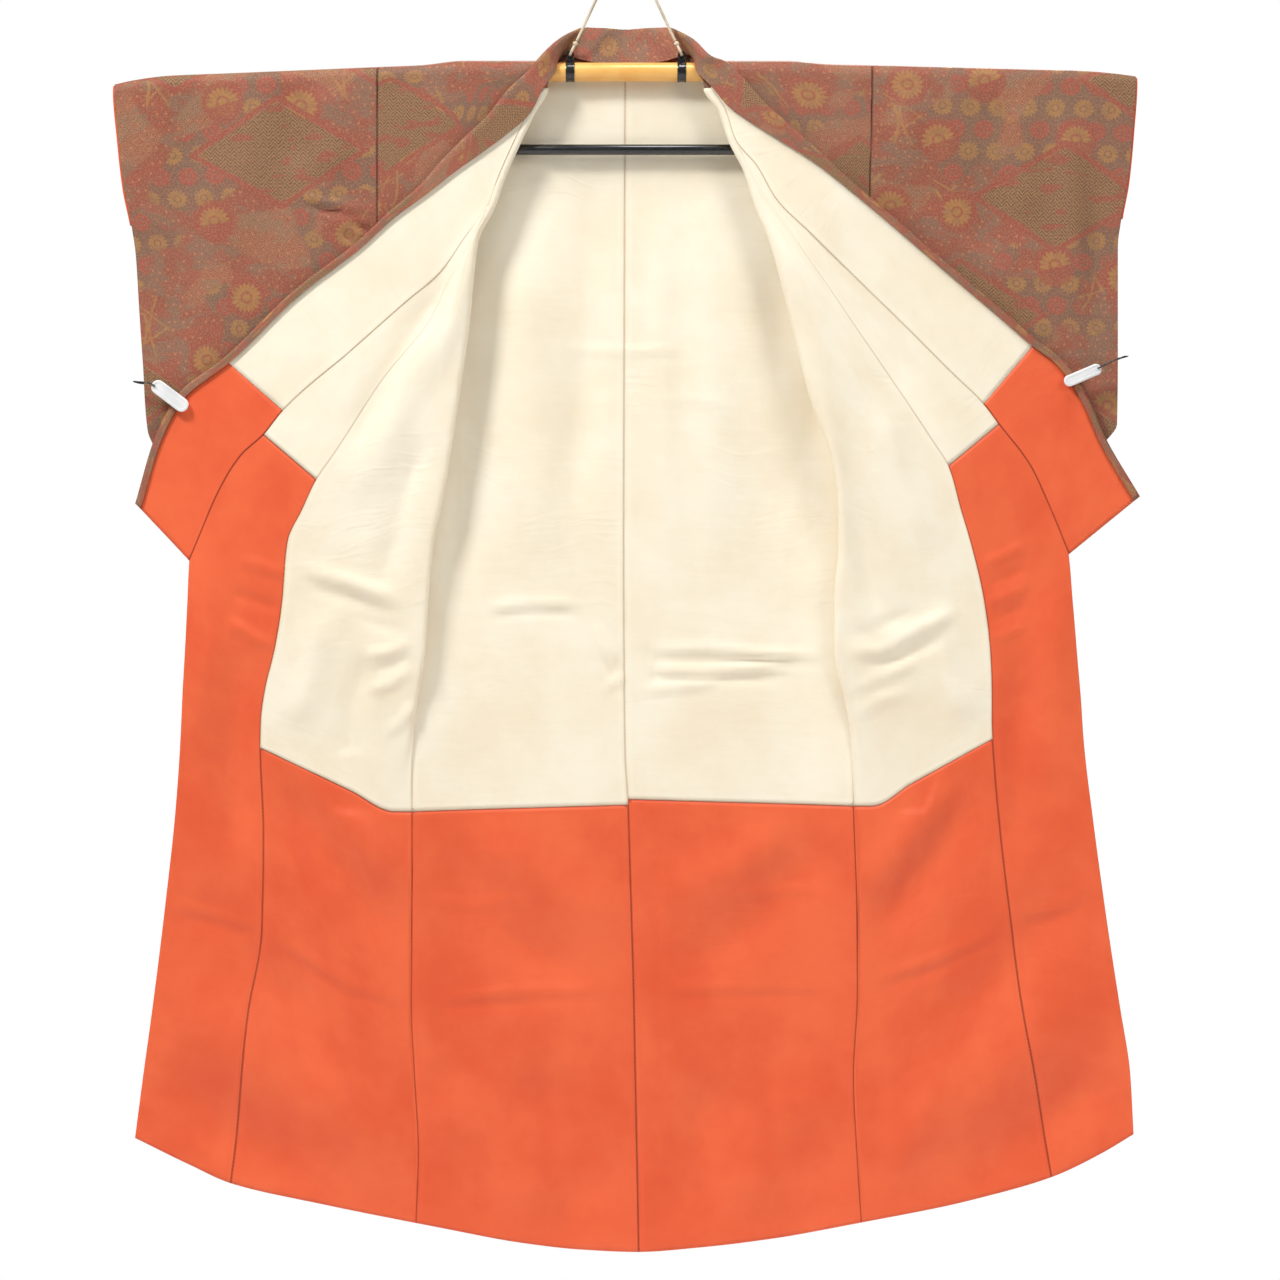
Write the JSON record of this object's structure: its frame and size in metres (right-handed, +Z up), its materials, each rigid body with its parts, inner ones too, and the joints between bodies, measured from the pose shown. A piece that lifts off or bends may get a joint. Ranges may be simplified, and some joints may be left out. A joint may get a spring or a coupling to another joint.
{
  "type": "komon kimono on a telescopic kimono hanger",
  "caption": "Lined small-pattern kimono with a wide collar, hung open on a telescopic hanger, fronts turned out and held to the sleeves by clips.",
  "frame": {"origin": "top of the inside of the hanging ring, where a hook carries the part", "axes": "+Z up, +X to the right seen from the front, +Y towards the back of the garment"},
  "size_m": [1.2862, 0.0648, 1.664],
  "materials": {
    "patterned_silk": "small all-over pattern in gold, rust, olive and dusty purple on soft crepe silk",
    "white_lining": "smooth ivory silk with a soft sheen",
    "orange_lining": "smooth orange-red silk with a soft sheen",
    "gold_metal": "glossy gold",
    "black_metal": "glossy black",
    "cord": "braided cream cord",
    "white_plastic": "smooth white"
  },
  "bodies": {
    "root": {"back_hem_lining_left": "orange_lining", "back_hem_lining_right": "orange_lining", "back_left": "patterned_silk", "back_lining_left": "white_lining", "back_lining_right": "white_lining", "back_right": "patterned_silk", "bar_post_left": "black_metal", "bar_post_right": "black_metal", "clip_back_jaw_left": "white_plastic", "clip_back_jaw_right": "white_plastic", "clip_front_jaw_left": "white_plastic", "clip_front_jaw_right": "white_plastic", "clip_wire_left": "black_metal", "clip_wire_right": "black_metal", "collar": "patterned_silk", "collar_end_lining_left": "orange_lining", "collar_end_lining_right": "orange_lining", "collar_lining_left": "white_lining", "collar_lining_right": "white_lining", "cord_bracket_left": "black_metal", "cord_bracket_right": "black_metal", "cord_loop_left": "cord", "cord_loop_right": "cord", "front_hem_lining_left": "orange_lining", "front_hem_lining_right": "orange_lining", "front_left": "patterned_silk", "front_lining_left": "white_lining", "front_lining_right": "white_lining", "front_right": "patterned_silk", "hanger_rod_left": "gold_metal", "hanger_rod_right": "gold_metal", "hanger_tube": "gold_metal", "hanging_cord": "cord", "hanging_ring": "gold_metal", "overlap_hem_lining_left": "orange_lining", "overlap_hem_lining_right": "orange_lining", "overlap_left": "patterned_silk", "overlap_lining_left": "white_lining", "overlap_lining_right": "white_lining", "overlap_right": "patterned_silk", "sash_bar": "black_metal", "sleeve_edging_left": "orange_lining", "sleeve_edging_right": "orange_lining", "sleeve_left": "patterned_silk", "sleeve_right": "patterned_silk"}
  },
  "joints": []
}
